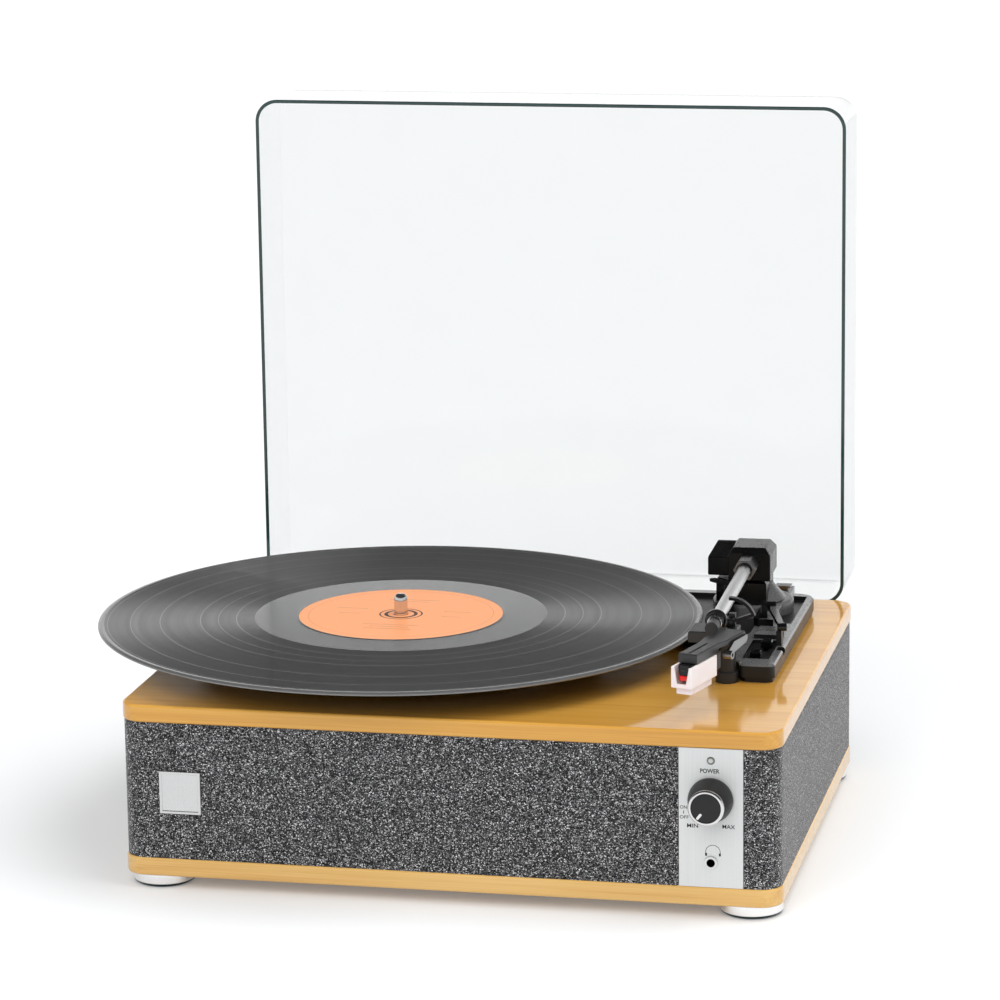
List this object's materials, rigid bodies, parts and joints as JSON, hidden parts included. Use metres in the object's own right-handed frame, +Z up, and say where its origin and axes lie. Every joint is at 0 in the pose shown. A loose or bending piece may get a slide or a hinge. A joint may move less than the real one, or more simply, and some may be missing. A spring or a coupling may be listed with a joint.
{
  "type": "record player",
  "caption": "Belt-drive record player in a bamboo and cloth cabinet with speakers, a straight tonearm, a volume knob, a 12 inch record and a clear hinged lid.",
  "frame": {"origin": "centre of the bounding box seen from above, on the floor under the feet", "axes": "+X to the right seen from the front, +Y to the back, +Z up along the spindle"},
  "size_m": [0.3614, 0.3273, 0.3472],
  "materials": {
    "bamboo": "satin",
    "fibreboard": "raw",
    "grille_fabric": "coarse weave",
    "plated_foot": "polished",
    "foot_rubber": "matte",
    "screw_steel": "plain",
    "speaker_steel": "satin black",
    "speaker_paper": "matte",
    "panel_aluminium": "brushed",
    "led_lens": "clear",
    "black_plastic": "satin",
    "knob_black": "satin",
    "knob_silver": "polished",
    "jack_metal": "plain",
    "badge_silver": "satin",
    "circuit_board": "plain",
    "bearing_brass": "turned",
    "belt_rubber": "matte",
    "motor_steel": "plain",
    "grey_plastic": "satin",
    "platter_metal": "satin black",
    "mat_rubber": "matte",
    "spindle_steel": "polished",
    "record_vinyl": "grooved",
    "label_paper": "matte",
    "tube_silver": "satin",
    "collar_silver": "satin",
    "lift_grey": "satin",
    "stylus_red": "gloss",
    "guard_white": "milky",
    "lid_clear": "clear",
    "hinge_steel": "plain"
  },
  "bodies": {
    "cabinet": {"bottom_panel": "bamboo", "top_panel": "bamboo", "cabinet_frame": "fibreboard", "grille_cloth": "grille_fabric", "foot_pads": "foot_rubber", "foot_screws": "screw_steel", "speaker_frame_left": "speaker_steel", "speaker_frame_right": "speaker_steel", "speaker_cone_left": "speaker_paper", "speaker_cone_right": "speaker_paper", "control_panel": "panel_aluminium", "power_led": "led_lens", "volume_pot": "motor_steel", "headphone_jack": "jack_metal", "badge_plate": "badge_silver", "rear_panel": "black_plastic", "dc_inlet": "black_plastic", "line_jacks": "jack_metal", "main_board": "circuit_board", "board_standoffs": "screw_steel", "platter_bearing": "bearing_brass", "drive_belt": "belt_rubber", "motor": "motor_steel", "motor_bracket": "screw_steel", "arm_base": "black_plastic", "arm_turret_skirt": "grey_plastic", "arm_rest": "black_plastic", "hinge_cabinet_plates": "hinge_steel", "hinge_screws": "screw_steel", "hinge_pins": "hinge_steel", "foot_front_left": "plated_foot", "foot_front_right": "plated_foot", "foot_back_left": "plated_foot", "foot_back_right": "plated_foot"},
    "platter": {"platter": "platter_metal", "slipmat": "mat_rubber", "spindle": "spindle_steel"},
    "pulley": {"motor_pulley": "bearing_brass"},
    "record": {"record": "record_vinyl", "record_label": "label_paper"},
    "knob": {"volume_knob": "knob_black", "knob_ring": "knob_silver"},
    "turret": {"arm_post": "black_plastic", "arm_pivot_pin": "screw_steel"},
    "tonearm": {"head_block": "black_plastic", "arm_tube": "tube_silver", "arm_collar": "collar_silver", "lock_ring": "black_plastic", "headshell": "black_plastic", "finger_lift": "lift_grey", "cartridge": "black_plastic", "stylus": "stylus_red"},
    "guard": {"stylus_guard": "guard_white"},
    "clip": {"arm_clip": "black_plastic"},
    "lever": {"cue_lever": "black_plastic"},
    "lifter": {"cue_lift": "black_plastic"},
    "speed_slider": {"speed_switch": "black_plastic"},
    "stop_slider": {"auto_stop_switch": "black_plastic"},
    "lid": {"lid": "lid_clear", "hinge_lid_plates": "hinge_steel"}
  },
  "joints": [
    {"name": "platter_spin", "type": "hinge", "parent": "cabinet", "child": "platter", "pos_m": [-0.02995, -0.01285, 0.0909], "axis": [0, 0, -1], "continuous": true},
    {"name": "pulley_spin", "type": "hinge", "parent": "cabinet", "child": "pulley", "pos_m": [-0.09548, -0.05874, 0.0909], "axis": [0, 0, -1], "continuous": true},
    {"name": "record_lift", "type": "slide", "parent": "platter", "child": "record", "axis": [0, 0, 1], "range_m": [0, 0.02]},
    {"name": "volume_turn", "type": "hinge", "parent": "cabinet", "child": "knob", "pos_m": [0.14805, -0.14455, 0.058], "axis": [0, 1, 0], "range_deg": [0, 300]},
    {"name": "arm_swing", "type": "hinge", "parent": "cabinet", "child": "turret", "pos_m": [0.13665, 0.0599, 0.1264], "axis": [0, 0, -1], "range_deg": [0, 48]},
    {"name": "arm_lift", "type": "hinge", "parent": "turret", "child": "tonearm", "pos_m": [0.13665, 0.0599, 0.1264], "axis": [-0.9997, -0.0227, 0], "range_deg": [0, 10]},
    {"name": "guard_off", "type": "slide", "parent": "tonearm", "child": "guard", "axis": [-0.2672, -0.9636, 0], "range_m": [0, 0.03]},
    {"name": "clip_close", "type": "hinge", "parent": "cabinet", "child": "clip", "pos_m": [0.14445, -0.0596, 0.1219], "axis": [0, -1, 0], "range_deg": [0, 80]},
    {"name": "cue_lever", "type": "hinge", "parent": "cabinet", "child": "lever", "pos_m": [0.15155, 0.0215, 0.1094], "axis": [-0.9646, -0.2639, 0], "range_deg": [0, 25.3]},
    {"name": "cue_lift", "type": "slide", "parent": "cabinet", "child": "lifter", "axis": [0, 0, 1], "range_m": [0, 0.0034]},
    {"name": "speed_select", "type": "slide", "parent": "cabinet", "child": "speed_slider", "axis": [0, 1, 0], "range_m": [0, 0.006]},
    {"name": "auto_stop", "type": "slide", "parent": "cabinet", "child": "stop_slider", "axis": [0, -1, 0], "range_m": [0, 0.006]},
    {"name": "lid_hinge", "type": "hinge", "parent": "cabinet", "child": "lid", "pos_m": [0.02165, 0.11275, 0.0899], "axis": [1, 0, 0], "range_deg": [0, 23]}
  ],
  "couplings": [
    {"joint": "pulley_spin", "follows": "platter_spin", "ratio": 17.499},
    {"joint": "cue_lever", "follows": "cue_lift", "rad_per_m": 128.33}
  ]
}
